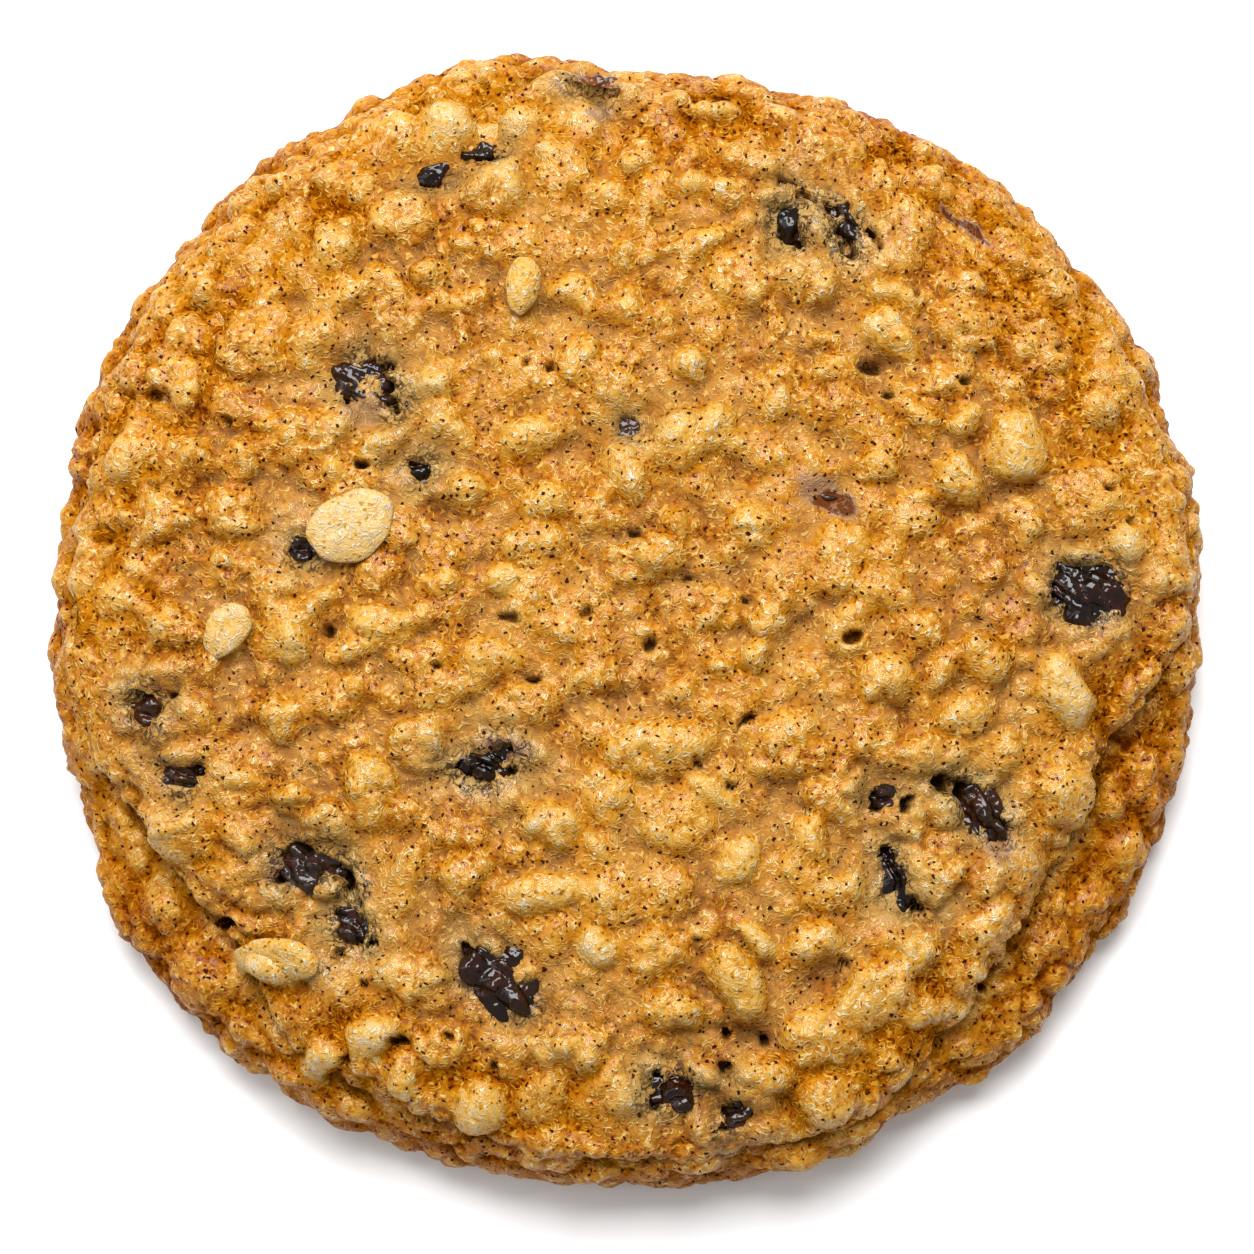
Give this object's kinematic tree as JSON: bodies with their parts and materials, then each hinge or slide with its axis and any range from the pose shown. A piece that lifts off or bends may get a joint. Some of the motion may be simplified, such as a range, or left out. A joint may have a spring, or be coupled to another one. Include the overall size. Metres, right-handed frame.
{
  "type": "oatmeal raisin cookie",
  "caption": "Thick round oatmeal raisin cookie: a lumpy golden crust with oat flakes, sunken dark raisins, a browned layered rim and a flat underside.",
  "frame": {"origin": "middle of the box of the cookie, on its flat underside", "axes": "+Z up through the crust; +X right and +Y up in the plan view, with the step between crust and foot widest towards -Y"},
  "size_m": [0.1001, 0.0993, 0.016],
  "materials": {
    "baked_dough": "golden baked dough, matte with fine moist glints",
    "raisin": "dark wrinkled raisin skin, glossy"
  },
  "bodies": {
    "root": {"cookie": "baked_dough", "raisin_01": "raisin", "raisin_02": "raisin", "raisin_03": "raisin", "raisin_04": "raisin", "raisin_05": "raisin", "raisin_06": "raisin", "raisin_07": "raisin", "raisin_08": "raisin", "raisin_09": "raisin", "raisin_10": "raisin", "raisin_11": "raisin", "raisin_12": "raisin", "raisin_13": "raisin", "raisin_14": "raisin", "raisin_15": "raisin", "raisin_16": "raisin", "raisin_17": "raisin", "raisin_18": "raisin", "raisin_19": "raisin", "raisin_20": "raisin", "raisin_21": "raisin", "raisin_22": "raisin", "raisin_23": "raisin"}
  },
  "joints": []
}
